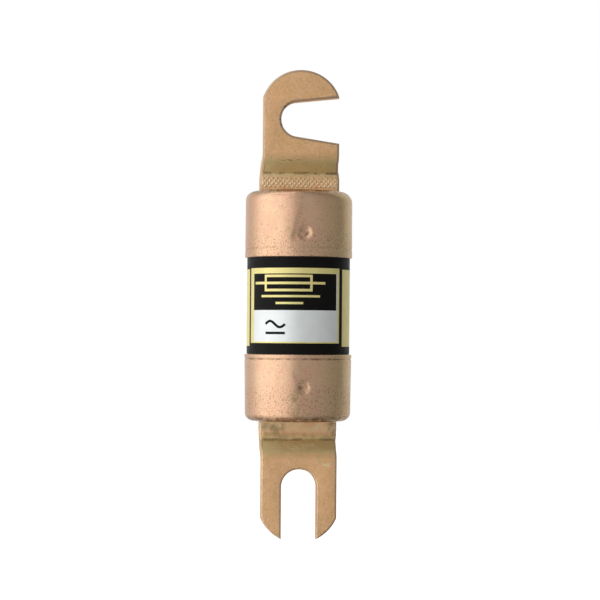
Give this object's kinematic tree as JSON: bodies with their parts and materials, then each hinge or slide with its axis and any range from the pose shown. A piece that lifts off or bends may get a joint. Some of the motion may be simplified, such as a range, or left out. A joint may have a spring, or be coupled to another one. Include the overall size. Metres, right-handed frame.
{
  "type": "cartridge fuse",
  "caption": "Cylindrical cartridge fuse with copper end caps, a wrapped foil label, and joggled blade terminals, one with a side hook slot and one with an end fork slot.",
  "frame": {"origin": "on the fuse's axis, midway between the end caps' outer faces", "axes": "+Z along the axis towards the hook terminal, -Y the labelled front that the terminals are joggled towards, +X the side that the hook slot opens to"},
  "size_m": [0.027, 0.027, 0.1173],
  "materials": {
    "cap_copper": "satin",
    "terminal_bronze": "satin",
    "plate_brass": "satin",
    "pin_steel": "satin",
    "spring_steel": "satin",
    "link_copper": "satin",
    "solder": "satin",
    "quartz_sand": "matte",
    "red_fibre": "matte",
    "tube_fibre": "matte",
    "label_foil": "gloss"
  },
  "bodies": {
    "fuse_body": {"upper_end_cap": "cap_copper", "upper_hook_terminal": "terminal_bronze", "upper_end_plate": "plate_brass", "upper_seal_washer": "red_fibre", "upper_terminal_pin": "pin_steel", "upper_short_circuit_link": "link_copper", "upper_link_solder": "solder", "upper_sand_filler": "quartz_sand", "upper_barrier_disc": "red_fibre", "lower_end_cap": "cap_copper", "lower_fork_terminal": "terminal_bronze", "lower_end_plate": "plate_brass", "lower_seal_washer": "red_fibre", "lower_terminal_pin": "pin_steel", "lower_short_circuit_link": "link_copper", "lower_link_solder": "solder", "lower_sand_filler": "quartz_sand", "lower_barrier_disc": "red_fibre", "cartridge_tube": "tube_fibre", "wrap_label": "label_foil", "link_anchor": "link_copper", "heat_absorber": "link_copper", "trigger_barrel": "plate_brass", "barrel_cover": "plate_brass", "fusing_alloy": "solder", "trigger_spring": "spring_steel", "overload_sleeve": "tube_fibre"},
    "trigger": {"trigger_plunger": "plate_brass"}
  },
  "joints": [
    {"name": "trigger_slide", "type": "slide", "parent": "fuse_body", "child": "trigger", "axis": [0, 0, -1], "range_m": [0, 0.0047], "deforming": ["trigger_spring"]}
  ]
}
